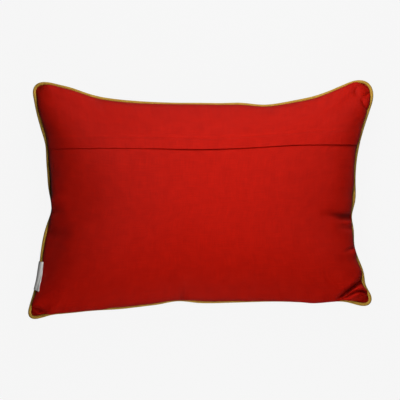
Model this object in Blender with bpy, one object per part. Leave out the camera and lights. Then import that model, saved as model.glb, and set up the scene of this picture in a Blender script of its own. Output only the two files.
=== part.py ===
"""A piped lumbar cushion lying on its front face, with its lapped closure side up.

Metres, +Z up. The origin is the middle of the cushion's outline, on the surface it rests on.
+X runs along the long side and +Y towards the edge that the closure is nearest to.

Plan positions start as square coordinates: a runs from -1 at the left seam to 1 at the right
one, and b from -1 at the bottom seam to 1 at the top one. plan_point turns them into metres.
"""

import math

import bmesh
import bpy
from mathutils import Vector

# Cover, corner to corner before its corners are rounded and its sides drawn in by the filling
COVER_WIDTH = 0.590
COVER_HEIGHT = 0.400
CORNER_ROUNDING = 0.045
CORNERS = {
    "top_left": Vector((-0.296, 0.212)),
    "top_right": Vector((0.307, 0.211)),
    "bottom_right": Vector((0.301, -0.192)),
    "bottom_left": Vector((-0.307, -0.216)),
}
# Each side runs between two corners, from left to right or from bottom to top, and is drawn in
# by draw_in at its middle. A larger fullness keeps that depth for more of the side.
SIDES = {
    "top": {"start": "top_left", "end": "top_right", "draw_in": 0.050, "fullness": 1.6},
    "bottom": {"start": "bottom_left", "end": "bottom_right", "draw_in": 0.028, "fullness": 5.0},
    "left": {"start": "bottom_left", "end": "top_left", "draw_in": 0.043, "fullness": 2.1},
    "right": {"start": "bottom_right", "end": "top_right", "draw_in": 0.044, "fullness": 2.0},
}
# Places where the seam is nipped in further: share of the side's length, depth, and half width
# as a share of the side
NIPS = [
    {"side": "top", "place": 0.735, "depth": 0.0143, "spread": 0.134},
    {"side": "top", "place": 0.230, "depth": 0.0104, "spread": 0.160},
    {"side": "bottom", "place": 0.447, "depth": 0.0070, "spread": 0.071},
    {"side": "bottom", "place": 0.906, "depth": 0.0048, "spread": 0.038},
    {"side": "left", "place": 0.482, "depth": 0.0082, "spread": 0.059},
    {"side": "right", "place": 0.406, "depth": 0.0042, "spread": 0.032},
    {"side": "right", "place": 0.280, "depth": 0.0077, "spread": 0.122},
]

# Filling
SEAM_HEIGHT = 0.062
EAR_DROP = 0.010
SEAM_THICKNESS = 0.0016
CLOSURE_CROWN = 0.080
FRONT_CROWN = 0.074
CROWN_ROUNDNESS = 2.4
CROWN_FULLNESS = 0.64
REST_SOFTNESS = 0.006

# Folds and dents in both faces, as soft troughs between two plan points in metres
FOLDS = [
    {"name": "right_ear_fold",
     "start": (0.236, -0.170), "end": (0.283, -0.134),
     "depth": 0.013, "width": 0.0065},
    {"name": "right_ear_crease",
     "start": (0.244, -0.168), "end": (0.288, -0.150),
     "depth": 0.006, "width": 0.0045},
    {"name": "right_side_dent",
     "start": (0.205, -0.025), "end": (0.262, -0.031),
     "depth": 0.007, "width": 0.011},
    {"name": "right_side_pucker",
     "start": (0.243, -0.088), "end": (0.268, -0.080),
     "depth": 0.005, "width": 0.007},
    {"name": "left_side_dent",
     "start": (-0.256, -0.020), "end": (-0.205, -0.006),
     "depth": 0.008, "width": 0.012},
    {"name": "left_side_pucker",
     "start": (-0.270, -0.072), "end": (-0.232, -0.060),
     "depth": 0.005, "width": 0.009},
    {"name": "left_ear_crease",
     "start": (-0.290, -0.176), "end": (-0.252, -0.184),
     "depth": 0.005, "width": 0.006},
    {"name": "bottom_dent",
     "start": (-0.033, -0.176), "end": (-0.026, -0.140),
     "depth": 0.006, "width": 0.011},
    {"name": "top_right_dent",
     "start": (0.118, 0.166), "end": (0.124, 0.136),
     "depth": 0.005, "width": 0.011},
    {"name": "top_left_dent",
     "start": (-0.176, 0.174), "end": (-0.160, 0.146),
     "depth": 0.004, "width": 0.011},
    {"name": "top_right_ear_dimple",
     "start": (0.256, 0.182), "end": (0.263, 0.172),
     "depth": 0.005, "width": 0.007},
    {"name": "top_right_ear_crease",
     "start": (0.268, 0.168), "end": (0.284, 0.180),
     "depth": 0.004, "width": 0.005},
]
MOST_OF_FILLING = 0.65

# Upper back panel, which laps over the lower one. Its edge runs level, then steps up to the right.
LAP_HEIGHT = 0.086
LAP_RISE = 0.007
LAP_RISE_PLACE = 0.120
LAP_RISE_LENGTH = 0.055
LAP_SAG = 0.0015
LAP_SAG_LENGTH = 0.060
PANEL_THICKNESS = 0.0016
EDGE_LIFT = 0.0010
LIFT_REACH = 0.012

# Piping and the label sewn in beside it
PIPING_RADIUS = 0.0025
GAP = 0.0003
PANEL_GAP = 0.0004
LABEL_BOTTOM = -0.157
LABEL_TOP = -0.108
LABEL_THICKNESS = 0.0010
LABEL_DROP = 0.022
LABEL_FLARE = 0.0022
LABEL_START_ANGLE = math.radians(125)
LABEL_ARC_STEPS = 6
LABEL_DROP_STEPS = 4

# Mesh of each face: more cells near the seam, where it curves most
COLUMNS = 42
ROWS = 28
LAP_ROW = 19
EDGE_CROWDING = 0.72
SHARP_ANGLE = math.radians(50)

RED_COTTON = (0.480, 0.014, 0.008, 1.0)
OLIVE_GOLD = (0.330, 0.200, 0.040, 1.0)
WHITE_TAPE = (0.620, 0.610, 0.580, 1.0)


def side_point(name, share):
    """A point of one drawn-in side, share of the way along it."""
    side = SIDES[name]
    start, end = CORNERS[side["start"]], CORNERS[side["end"]]
    along = (end - start).normalized()
    turn = 1 if name in ("bottom", "right") else -1
    inward = Vector((-along.y, along.x)) * turn
    depth = side["draw_in"] * (1 - abs(2 * share - 1) ** side["fullness"])
    for nip in NIPS:
        if nip["side"] == name:
            depth += nip["depth"] * math.exp(-(((share - nip["place"]) / nip["spread"]) ** 2))
    return start.lerp(end, share) + inward * depth


def rounded(a, b):
    """Square coordinates moved so that the square's edge becomes a rectangle with round corners."""
    ring = max(abs(a), abs(b))
    half_width, half_height = ring * COVER_WIDTH / 2, ring * COVER_HEIGHT / 2
    radius = CORNER_ROUNDING * ring**3
    x, y = abs(a) * COVER_WIDTH / 2, abs(b) * COVER_HEIGHT / 2
    if abs(a) >= abs(b) and y > half_height - radius:
        turn = math.radians(45) * (y - half_height + radius) / radius
        x = half_width - radius + radius * math.cos(turn)
        y = half_height - radius + radius * math.sin(turn)
    elif abs(b) > abs(a) and x > half_width - radius:
        turn = math.radians(90) - math.radians(45) * (x - half_width + radius) / radius
        x = half_width - radius + radius * math.cos(turn)
        y = half_height - radius + radius * math.sin(turn)
    return math.copysign(2 * x / COVER_WIDTH, a), math.copysign(2 * y / COVER_HEIGHT, b)


def raw_plan_point(a, b):
    """Plan position between the four drawn-in sides, before the outline is centred."""
    a, b = rounded(a, b)
    u, v = (a + 1) / 2, (b + 1) / 2
    between_bottom_top = side_point("bottom", u).lerp(side_point("top", u), v)
    between_left_right = side_point("left", v).lerp(side_point("right", v), u)
    bottom = CORNERS["bottom_left"].lerp(CORNERS["bottom_right"], u)
    top = CORNERS["top_left"].lerp(CORNERS["top_right"], u)
    return between_bottom_top + between_left_right - bottom.lerp(top, v)


def crowded(count):
    """count + 1 stations from -1 to 1, closer together near both ends."""
    even = [2 * i / count - 1 for i in range(count + 1)]
    return [s + (math.sin(s * math.pi / 2) - s) * EDGE_CROWDING for s in even]


def seam_ring():
    """The seam's square coordinates, anticlockwise from the bottom left corner."""
    across, up = crowded(COLUMNS), crowded(ROWS)
    right = [(1, lapped_row(1, b)) for b in up[:-1]]
    left = [(-1, lapped_row(-1, b)) for b in up[:0:-1]]
    return [(a, -1) for a in across[:-1]] + right + [(a, 1) for a in across[:0:-1]] + left


def lap_line(x):
    """Height in plan of the lap's edge at x."""
    rise = LAP_RISE * (0.5 + 0.5 * math.tanh((x - LAP_RISE_PLACE) / LAP_RISE_LENGTH))
    return LAP_HEIGHT + rise - LAP_SAG * math.exp(-((x / LAP_SAG_LENGTH) ** 2))


def lap_coordinate(a):
    """The b at which the column at a crosses the lap's edge, found by halving."""
    low, high = 0.0, 0.9
    for _ in range(30):
        middle = (low + high) / 2
        point = raw_plan_point(a, middle)
        if point.y < lap_line(point.x):
            low = middle
        else:
            high = middle
    return (low + high) / 2


def lapped_row(a, station):
    """A row's b at column a, with row LAP_ROW lying along the lap's edge."""
    lap_station = crowded(ROWS)[LAP_ROW]
    lap = lap_coordinate(a)
    if station <= lap_station:
        return -1 + (station + 1) * (lap + 1) / (lap_station + 1)
    return 1 - (1 - station) * (1 - lap) / (1 - lap_station)


def outward_of(before, after):
    """Unit vector pointing out of the anticlockwise seam between two of its points."""
    along = (after - before).normalized()
    return Vector((along.y, -along.x, 0))


def outline_middle():
    """Middle of the piping's outer outline."""
    seam = [raw_plan_point(a, b).to_3d() for a, b in seam_ring()]
    reach = GAP + 2 * PIPING_RADIUS
    outer = [
        seam[i] + outward_of(seam[i - 1], seam[(i + 1) % len(seam)]) * reach
        for i in range(len(seam))
    ]
    xs, ys = [p.x for p in outer], [p.y for p in outer]
    return Vector(((min(xs) + max(xs)) / 2, (min(ys) + max(ys)) / 2))


MIDDLE = outline_middle()


def plan_point(a, b):
    return raw_plan_point(a, b) - MIDDLE


def fold_depth(x, y):
    """How deep the folds and dents are at a plan point."""
    here, total = Vector((x, y)), 0.0
    for fold in FOLDS:
        start, end = Vector(fold["start"]), Vector(fold["end"])
        along = end - start
        share = min(max((here - start).dot(along) / along.length_squared, 0), 1)
        away = (here - start - along * share).length / fold["width"]
        total += fold["depth"] * math.exp(-(away**2))
    return total


def seam_height(a, b):
    return SEAM_HEIGHT - EAR_DROP * (a * b) ** 2


def filling(a, b, crown):
    """How far a face stands off the seam's level."""
    bulge = ((1 - abs(a) ** CROWN_ROUNDNESS) * (1 - abs(b) ** CROWN_ROUNDNESS)) ** CROWN_FULLNESS
    return crown * bulge


def folded(height, x, y):
    return height - min(fold_depth(x, y), height * MOST_OF_FILLING)


def closure_point(a, b):
    """A point of the closure face, which is up."""
    plan = plan_point(a, b)
    stand = folded(filling(a, b, CLOSURE_CROWN), plan.x, plan.y)
    return Vector((plan.x, plan.y, seam_height(a, b) + SEAM_THICKNESS / 2 + stand))


def front_point(a, b):
    """A point of the front face, which is down and lies flat where it reaches the surface."""
    plan = plan_point(a, b)
    stand = folded(filling(a, b, FRONT_CROWN), plan.x, plan.y)
    height = seam_height(a, b) - SEAM_THICKNESS / 2 - stand
    if height > REST_SOFTNESS:
        return Vector((plan.x, plan.y, height))
    flattened = max(height + REST_SOFTNESS, 0) ** 2 / (4 * REST_SOFTNESS)
    return Vector((plan.x, plan.y, flattened))


def sheet_between(columns, rows, upper_point, lower_point):
    """A closed mesh whose two faces are the same grid, placed by two functions of its cells."""
    mesh = bmesh.new()
    bmesh.ops.create_grid(mesh, x_segments=columns, y_segments=rows, size=1)
    bmesh.ops.triangulate(mesh, faces=mesh.faces, quad_method="FIXED")
    upper = list(mesh.verts)
    copied = bmesh.ops.extrude_face_region(mesh, geom=list(mesh.faces))
    lower = [item for item in copied["geom"] if isinstance(item, bmesh.types.BMVert)]
    for vertices, point in ((upper, upper_point), (lower, lower_point)):
        for vertex in vertices:
            column = round((vertex.co.x + 1) / 2 * columns)
            row = round((vertex.co.y + 1) / 2 * rows)
            vertex.co = point(column, row)
    bmesh.ops.recalc_face_normals(mesh, faces=list(mesh.faces))
    if mesh.calc_volume(signed=True) < 0:
        bmesh.ops.reverse_faces(mesh, faces=list(mesh.faces))
    return mesh


def face_coordinates():
    """Square coordinates of every grid point of a face, as a list of rows for each column."""
    rows = crowded(ROWS)
    return [[(a, lapped_row(a, b)) for b in rows] for a in crowded(COLUMNS)]


def cloth_material(name, colour, roughness):
    material = bpy.data.materials.new(name)
    material.use_nodes = True
    surface = material.node_tree.nodes["Principled BSDF"]
    surface.inputs["Base Color"].default_value = colour
    surface.inputs["Roughness"].default_value = roughness
    surface.inputs["Metallic"].default_value = 0.0
    material.diffuse_color = colour
    return material


def add_object(name, mesh, material):
    """Makes a named, smooth-shaded object of a finished bmesh."""
    data = bpy.data.meshes.new(name)
    mesh.to_mesh(data)
    mesh.free()
    data.shade_smooth()
    data.set_sharp_from_angle(angle=SHARP_ANGLE)
    data.materials.append(material)
    made = bpy.data.objects.new(name, data)
    bpy.context.scene.collection.objects.link(made)
    return made


def filled_cushion(material):
    """Front panel, lower back panel and filling, as one filled solid."""
    cells = face_coordinates()
    mesh = sheet_between(
        COLUMNS,
        ROWS,
        lambda column, row: closure_point(*cells[column][row]),
        lambda column, row: front_point(*cells[column][row]),
    )
    return add_object("filled_cushion", mesh, material)


def upper_back_panel(material):
    """The panel over the top part of the closure face, ending in the lap's folded edge."""
    cells = face_coordinates()

    def panel_point(column, row, stand):
        point = closure_point(*cells[column][row + LAP_ROW])
        edge = closure_point(*cells[column][LAP_ROW])
        lift = EDGE_LIFT * math.exp(-(point - edge).length / LIFT_REACH)
        return point + Vector((0, 0, PANEL_GAP + lift + stand))

    mesh = sheet_between(
        COLUMNS,
        ROWS - LAP_ROW,
        lambda column, row: panel_point(column, row, PANEL_THICKNESS),
        lambda column, row: panel_point(column, row, 0),
    )
    return add_object("upper_back_panel", mesh, material)


def seam_line():
    """Points along the seam and the outward direction at each, anticlockwise."""
    points = []
    for a, b in seam_ring():
        plan = plan_point(a, b)
        points.append(Vector((plan.x, plan.y, seam_height(a, b))))
    return [
        (point, outward_of(points[i - 1], points[(i + 1) % len(points)]))
        for i, point in enumerate(points)
    ]


def piping(material):
    """The covered cord sewn in all round the seam, as one endless ring."""
    curve = bpy.data.curves.new("piping", "CURVE")
    curve.dimensions = "3D"
    curve.bevel_depth = PIPING_RADIUS
    curve.bevel_resolution = 2
    curve.materials.append(material)
    seam = seam_line()
    ring = curve.splines.new("POLY")
    ring.points.add(len(seam) - 1)
    ring.use_cyclic_u = True
    for knot, (point, outward) in zip(ring.points, seam):
        knot.co = (point + outward * (GAP + PIPING_RADIUS)).to_4d()
    made = bpy.data.objects.new("piping", curve)
    bpy.context.scene.collection.objects.link(made)
    return made


def label_stations():
    """Seam points and outward directions between the label's two ends, from top to bottom."""
    left = [(p, out) for p, out in seam_line() if p.x < 0 and abs(out.x) > abs(out.y)]
    left.sort(key=lambda station: -station[0].y)

    def at_height(y):
        for (p, out), (q, next_out) in zip(left, left[1:]):
            if p.y >= y >= q.y:
                share = (p.y - y) / (p.y - q.y)
                return p.lerp(q, share), out.lerp(next_out, share)
        raise ValueError("the label lies off the left side")

    inside = [station for station in left if LABEL_BOTTOM < station[0].y < LABEL_TOP]
    return [at_height(LABEL_TOP), *inside, at_height(LABEL_BOTTOM)]


def label_profile(stand):
    """The label's section from the seam, over the piping and down: (outward, up) pairs. stand is
    how far this face of the label lies from the piping's surface."""
    reach = PIPING_RADIUS + stand
    centre = GAP + PIPING_RADIUS
    over = [
        LABEL_START_ANGLE * (1 - step / LABEL_ARC_STEPS) for step in range(LABEL_ARC_STEPS + 1)
    ]
    section = [(centre + reach * math.cos(turn), reach * math.sin(turn)) for turn in over]
    for step in range(1, LABEL_DROP_STEPS + 1):
        share = step / LABEL_DROP_STEPS
        section.append((centre + reach + LABEL_FLARE * share**2, -LABEL_DROP * share))
    return section


def side_label(material):
    """The blank tape sewn into the left seam, folded out over the piping."""
    stations = label_stations()
    inner, outer = label_profile(GAP), label_profile(GAP + LABEL_THICKNESS)

    def placed(section):
        def point(column, row):
            base, outward = stations[column]
            out, up = section[row]
            return base + outward * out + Vector((0, 0, up))

        return point

    mesh = sheet_between(len(stations) - 1, len(inner) - 1, placed(outer), placed(inner))
    return add_object("side_label", mesh, material)


def build():
    for old in list(bpy.data.objects):
        bpy.data.objects.remove(old)
    red = cloth_material("red_cotton", RED_COTTON, 0.85)
    filled_cushion(red)
    upper_back_panel(red)
    piping(cloth_material("olive_gold_piping", OLIVE_GOLD, 0.7))
    side_label(cloth_material("white_tape", WHITE_TAPE, 0.75))


build()
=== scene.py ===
"""Looks of a red lumbar cushion: its stuffed cotton cover, lapped closure, piping and side label.

Everything is in metres in the frame of the construction: the cushion lies on its front face,
+X runs along its long side, +Y towards the edge that the closure is nearest to, and +Z up.

Plan positions start as square coordinates: a runs from -1 at the left seam to 1 at the right
one, and b from -1 at the bottom seam to 1 at the top one. plan_point turns them into metres.
"""

import math
import random

import bmesh
import bpy
import numpy as np
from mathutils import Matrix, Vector, noise
from mathutils.bvhtree import BVHTree


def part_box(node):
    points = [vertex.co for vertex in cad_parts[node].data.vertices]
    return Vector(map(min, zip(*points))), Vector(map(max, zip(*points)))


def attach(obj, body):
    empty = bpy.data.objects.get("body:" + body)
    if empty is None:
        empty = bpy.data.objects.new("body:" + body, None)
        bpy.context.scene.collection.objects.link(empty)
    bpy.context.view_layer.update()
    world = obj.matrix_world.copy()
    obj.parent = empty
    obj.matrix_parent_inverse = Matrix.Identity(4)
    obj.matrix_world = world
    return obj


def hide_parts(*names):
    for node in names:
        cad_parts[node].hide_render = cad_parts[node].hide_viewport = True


# Outline of the seam, with the sizes of the construction
COVER_WIDTH = 0.59
COVER_HEIGHT = 0.4
CORNER_ROUNDING = 0.0477
CORNERS = {
    "top_left": Vector((-0.301, 0.2142)),
    "top_right": Vector((0.3005, 0.2149)),
    "bottom_right": Vector((0.3083, -0.2015)),
    "bottom_left": Vector((-0.3139, -0.2195)),
}
SIDES = {
    "top": {"start": "top_left", "end": "top_right", "draw_in": 0.0506, "fullness": 2.48},
    "bottom": {"start": "bottom_left", "end": "bottom_right", "draw_in": 0.0382, "fullness": 3.6},
    "left": {"start": "bottom_left", "end": "top_left", "draw_in": 0.0514, "fullness": 2.18},
    "right": {"start": "bottom_right", "end": "top_right", "draw_in": 0.0407, "fullness": 2.36},
}
# Where a side is drawn in further, or with a depth below 0 let out, as (share of the way along
# the side, depth, spread)
NIPS = {
    "top": [
        (0.685, 0.0112, 0.113), (0.181, 0.0061, 0.167), (0.45, 0.0035, 0.158),
        (0.617, -0.0034, 0.047), (0.83, 0.0066, 0.078), (0.13, -0.0042, 0.052),
    ],
    "bottom": [
        (0.445, 0.0053, 0.046), (0.916, 0.0135, 0.072), (0.08, 0.0059, 0.052),
        (0.279, -0.0036, 0.079), (0.75, 0.0016, 0.095),
    ],
    "left": [
        (0.475, 0.0073, 0.062), (0.731, 0.0026, 0.048), (0.1, 0.0064, 0.071),
        (0.342, -0.0029, 0.085), (0.906, 0.0026, 0.038), (0.207, 0.003, 0.046),
    ],
    "right": [
        (0.415, 0.0078, 0.052), (0.291, 0.0116, 0.099), (0.131, 0.0026, 0.169),
        (0.122, 0.0066, 0.045), (0.573, 0.0043, 0.159), (0.884, -0.0058, 0.13),
    ],
}

# Filling
SEAM_HEIGHT = 0.062
EAR_DROP = 0.01
SEAM_THICKNESS = 0.0016
CLOSURE_CROWN = 0.079
FRONT_CROWN = 0.074
CROWN_ROUNDNESS = 2.4
CROWN_FULLNESS = 0.64
REST_SOFTNESS = 0.006

# The cloth as it is cut, before it is filled
CUT_WIDTH = 0.608
CUT_HEIGHT = 0.406

# Grid of each face, closer near the seam
COLUMNS = 88
ROWS = 60
LAP_ROW = 42
EDGE_CROWDING = 0.5
HALVINGS = 24
ROUNDING_LEVELS = 1

# Bands of the closure side that are cut finer one after the other, between two counts of rows
# beyond the lap's edge and up to a share of the way to the seam
FINER_BANDS = [
    {"from_row": -ROWS, "to_row": 1.6, "rim": 0.999},
    {"from_row": -0.6, "to_row": 0.6, "rim": 0.99},
]

# Cloth simulation of the filled cover
SETTLING_FRAMES = 20
MOST_SWELL = 0.01
HELD_WITHIN = 0.00005
CLOTH = {
    "quality": 5, "mass": 0.01, "tension_stiffness": 30, "compression_stiffness": 30,
    "shear_stiffness": 3, "bending_stiffness": 0.02, "tension_damping": 0.3,
    "compression_damping": 0.3, "shear_damping": 0.3, "bending_damping": 0.03,
    "air_damping": 1, "use_pressure": True, "uniform_pressure_force": 100.0,
}

# Folds and dents, as troughs along paths of (plan x, plan y, depth) with a soft lip on both
# sides. Those narrower than CREASE_WIDTH are creases, sharp at the bottom.
CREASE_WIDTH = 0.005
CREASE_SHARPNESS = 1.3
FOLDS = {
    "right_ear_fold": {"width": 0.0036, "lip": 0.3, "path": [
        (0.279, -0.1368, 0.008), (0.2749, -0.1394, 0.014), (0.2644, -0.1459, 0.018),
        (0.2579, -0.1505, 0.018), (0.2501, -0.1563, 0.015), (0.2402, -0.1642, 0.01),
        (0.234, -0.169, 0.002)]},
    "right_ear_crease": {"width": 0.003, "lip": 0.35, "path": [
        (0.288, -0.163, 0.003), (0.2841, -0.1595, 0.009), (0.2775, -0.1563, 0.012),
        (0.2698, -0.1551, 0.012), (0.2612, -0.1583, 0.011), (0.2552, -0.1623, 0.009),
        (0.245, -0.1685, 0.004)]},
    "right_side_dent": {"width": 0.007, "lip": 0.15, "path": [
        (0.26, -0.03, 0.013), (0.2391, -0.0289, 0.009), (0.2255, -0.0263, 0.005),
        (0.2, -0.0235, 0.0)]},
    "right_side_shallow_dent": {"width": 0.006, "lip": 0.1, "path": [
        (0.26, -0.048, 0.006), (0.242, -0.047, 0.003), (0.228, -0.046, 0.0)]},
    "right_side_pucker": {"width": 0.004, "lip": 0.25, "path": [
        (0.269, -0.079, 0.005), (0.256, -0.0835, 0.005), (0.242, -0.089, 0.0)]},
    "left_side_dent": {"width": 0.007, "lip": 0.1, "path": [
        (-0.26, -0.022, 0.006), (-0.245, -0.021, 0.003), (-0.228, -0.019, 0.0)]},
    "left_side_hollow": {"width": 0.013, "lip": 0.1, "path": [
        (-0.266, -0.056, 0.004), (-0.232, -0.056, 0.003), (-0.212, -0.058, 0.0)]},
    "left_side_swell": {"width": 0.024, "lip": 0.0, "path": [
        (-0.252, 0.008, -0.004), (-0.248, -0.005, -0.004)]},
    "left_ear_crease": {"width": 0.003, "lip": 0.3, "path": [
        (-0.293, -0.184, 0.003), (-0.2873, -0.185, 0.007), (-0.2777, -0.1866, 0.007),
        (-0.264, -0.1925, 0.001)]},
    "left_ear_low_crease": {"width": 0.0026, "lip": 0.3, "path": [
        (-0.286, -0.188, 0.001), (-0.2798, -0.1898, 0.005), (-0.27, -0.1955, 0.002)]},
    "bottom_dent": {"width": 0.008, "lip": 0.15, "path": [
        (-0.033, -0.176, 0.007), (-0.03, -0.158, 0.003), (-0.027, -0.138, 0.0)]},
    "top_right_dent": {"width": 0.01, "lip": 0.1, "path": [
        (0.117, 0.166, 0.005), (0.12, 0.15, 0.002), (0.123, 0.133, 0.0)]},
    "top_left_dent": {"width": 0.01, "lip": 0.1, "path": [
        (-0.178, 0.176, 0.004), (-0.168, 0.16, 0.002), (-0.16, 0.144, 0.0)]},
    "right_top_ear_dimple": {"width": 0.0044, "lip": 0.2, "path": [
        (0.2655, 0.191, 0.001), (0.264, 0.186, 0.004), (0.2624, 0.1794, 0.0075),
        (0.262, 0.1735, 0.001)]},
    "right_top_ear_crease": {"width": 0.0034, "lip": 0.3, "path": [
        (0.293, 0.184, 0.008), (0.2853, 0.181, 0.008), (0.281, 0.1767, 0.007),
        (0.2735, 0.1742, 0.001)]},
    "right_top_ear_low_crease": {"width": 0.003, "lip": 0.3, "path": [
        (0.2718, 0.17, 0.001), (0.2735, 0.166, 0.005), (0.2778, 0.1575, 0.006),
        (0.284, 0.15, 0.008)]},
}
MOST_OF_FILLING = 0.65
THIN_FILLING = 0.01

# Where the filling is slack behind the seam, as the share by which it is lower, or with a share
# below 0 where it is packed into a round edge
SHOULDERS = {
    "right_edge": {"width": 0.045, "path": [
        (0.285, 0.15, -0.06), (0.272, 0.1, -0.2), (0.262, 0.04, -0.26), (0.258, -0.005, -0.25),
        (0.26, -0.05, -0.15), (0.266, -0.095, -0.22), (0.275, -0.13, -0.18)]},
    "left_edge": {"width": 0.04, "path": [
        (-0.288, 0.19, -0.12), (-0.278, 0.16, -0.24), (-0.27, 0.138, -0.2), (-0.262, 0.11, -0.14),
        (-0.256, 0.09, -0.12), (-0.253, -0.01, -0.14), (-0.258, -0.04, -0.05), (-0.264, -0.08, 0.0)]},
    "left_low_shoulder": {"width": 0.024, "path": [
        (-0.258, -0.04, 0.0), (-0.264, -0.08, 0.2), (-0.272, -0.11, 0.14), (-0.28, -0.145, 0.03)]},
}

# How far the filled cloth bulges out over the piping, by plan x or y along each side. A reach of
# 9 mm hides the piping from above and one of 3 mm leaves all of it in view.
OVERHANGS = {
    "bottom": [
        (-0.29, 0.01), (-0.272, 0.0062), (-0.252, 0.0106), (-0.173, 0.0101), (-0.148, 0.0067),
        (-0.06, 0.0067), (-0.033, 0.0084), (-0.008, 0.006), (0.052, 0.0067), (0.085, 0.0082),
        (0.137, 0.0095), (0.165, 0.0099), (0.193, 0.0119), (0.226, 0.0119), (0.25, 0.0082),
        (0.268, 0.006), (0.286, 0.009),
    ],
    "right": [
        (-0.168, 0.008), (-0.156, 0.0098), (-0.142, 0.0034), (-0.123, 0.0084), (-0.104, 0.0065),
        (-0.088, 0.011), (-0.068, 0.0092), (-0.049, 0.009), (-0.031, 0.0095), (-0.013, 0.0069),
        (0.007, 0.0043), (0.03, 0.0078), (0.063, 0.0071), (0.085, 0.0058), (0.1, 0.0062),
        (0.125, 0.003), (0.17, 0.0042), (0.19, 0.015),
    ],
    "top": [
        (-0.292, 0.007), (-0.268, 0.0104), (-0.236, 0.006), (-0.136, 0.0042), (0.08, 0.0029),
        (0.19, 0.003), (0.246, 0.0042), (0.269, 0.0108), (0.29, 0.018), (0.297, 0.016),
    ],
    "left": [
        (-0.19, 0.011), (-0.15, 0.0062), (-0.063, 0.0054), (-0.043, 0.0069), (-0.024, 0.0095),
        (-0.005, 0.0101), (0.013, 0.0058), (0.034, 0.0043), (0.073, 0.0054), (0.092, 0.0056),
        (0.111, 0.0032), (0.168, 0.0062), (0.185, 0.0048),
    ],
}
OVERHANG_RISE = 0.002
OVERHANG_LEVEL = 0.0105
OVERHANG_CORNER_BLEND = 0.006
OVERHANG_MIDDLE_FADING = 4

# Small gathers along the seam, and the lumps of the filling
PUCKER_SPACING = 0.019
PUCKER_DEPTH = 0.0011
PUCKER_WIDTH = 0.0045
PUCKER_REACH = 0.026
# Shares of a gather's depth, width and reach, its lean, and the share of the spacing after it
PUCKER_SPREADS = ((0.2, 1.0), (0.7, 1.5), (0.4, 1.4), (-0.25, 0.25), (0.5, 1.6))
LUMP_SIZE = 0.085
LUMP_HEIGHT = 0.0016
RIPPLE_SIZE = 0.028
RIPPLE_HEIGHT = 0.0003

# Upper back panel, whose edge runs level and then steps up to the right
LAP_HEIGHT = 0.086
LAP_RISE = 0.007
LAP_RISE_PLACE = 0.12
LAP_RISE_LENGTH = 0.055
LAP_SAG = 0.0015
LAP_SAG_LENGTH = 0.06
PANEL_THICKNESS = 0.0011
PANEL_GAP = 0.0003
UNDERLAP_SINK = 0.002
UNDERLAP_START = 0.0014
UNDERLAP_SLOPE = 0.0022
LAP_HOLLOW = 0.002
LAP_HOLLOW_REACH = 0.007
LAP_STEP = 0.0013
LAP_STEP_SHARES = [
    (-0.262, 0.0), (-0.229, 0.18), (-0.19, 0.24), (-0.12, 0.31), (0.0, 0.95),
    (0.136, 0.6), (0.2, 0.56), (0.262, 0.9),
]
LAP_REST = 0.5
LAP_FULL_SHARE = 0.6
LAP_GAPE_CHANGE = 0.25
LAP_GAPE_LENGTH = 0.045
THINNEST_PANEL = 0.3
PANEL_LEAN_REACH = 0.03
EDGE_LIFT_REACH = 0.006
HEM_FOLDS = [
    (-0.23, 0.0205), (-0.12, 0.021), (0.0, 0.019), (0.136, 0.021), (0.2, 0.024),
    (0.25, 0.0265),
]
HEM_FOLD_SLOPE = 0.0014
HEM_RAISE = 0.0006
HEM_STITCH_INSET = 0.003
HEM_STITCH_GROOVE = 0.0005
HEM_STITCH_GROOVE_WIDTH = 0.0012
HEM_PUCKER = 0.00022
HEM_PUCKER_SIZE = (0.005, 0.05)
# Width of the painted highlight along the hem's fold
HEM_PAINTED_HIGHLIGHT_WIDTH = 0.0017
SEAM_THINNING = 0.012

# Stitches of the hem
STITCH_LENGTH = 0.0026
STITCH_PITCH = 0.0034
STITCH_WIDTH = 0.0005
STITCH_SINK = 0.35
STITCH_LENGTH_SPREAD = (0.92, 1.08)
STITCH_PITCH_SPREAD = (0.95, 1.05)
STITCH_ROW_MARGIN = 0.006

# Piping, a cord that is sunk a little between the two faces
PIPING_RADIUS = 0.00285
PIPING_GAP = -0.0004
PIPING_SIDES = 16
PIPING_UNEVENNESS = 0.05
PIPING_UNEVEN_LENGTH = 0.012
PIPING_MERGE_DISTANCE = 0.00001

# Label
LABEL_BOTTOM = -0.155
LABEL_TOP = -0.1062
LABEL_THICKNESS = 0.0007
LABEL_GAP = 0.0003
LABEL_BEND = [
    (0.0, 0.0035), (-0.0024, 0.0066), (-0.0031, 0.009), (-0.001, 0.0099), (0.0016, 0.0089),
    (0.004, 0.0062), (0.0055, 0.002), (0.0057, -0.0045), (0.0054, -0.012),
]
LABEL_FAN = 0.0045
LABEL_FAN_PLACE = -0.003
LABEL_FAN_REACH = 0.004
LABEL_WAVE = {"height": 0.0005, "turn": 5.2, "start": 0.6}
LABEL_SHARP_ANGLE = 40
LABEL_LIFTS = 3
LABEL_STRAIGHTNESS = 0.6
LABEL_STEPS = 32
LABEL_COLUMNS = 24
LABEL_CUT = (0.049, 0.036)

# Camera, straight above as in the photograph
VIEW_WIDTH = 0.6825
LENS = 180.0
SENSOR = 36.0
CAMERA_PLACE = (-0.0011, -0.0007)

# Softboxes, with their sizes in metres and powers in watts
SOFTBOXES = [
    {"name": "over_light", "place": (0.05, 0.0, 0.7), "aim": (0.05, 0.0, 0.0),
     "size": (0.25, 0.9), "power": 2.5},
    {"name": "key_light", "place": (0.05, 0.65, 0.55), "aim": (0.05, 0.05, 0.05),
     "size": (0.3, 0.5), "power": 3.25},
    {"name": "side_key_light", "place": (0.35, 0.55, 0.6), "aim": (0.1, 0.05, 0.05),
     "size": (0.3, 0.5), "power": 1.15},
    {"name": "front_fill_light", "place": (0.0, -0.65, 0.45), "aim": (0.0, -0.05, 0.05),
     "size": (0.3, 0.4), "power": 1.55, "mirrored": False},
]
WORLD_STRENGTH = 0.012
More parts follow.
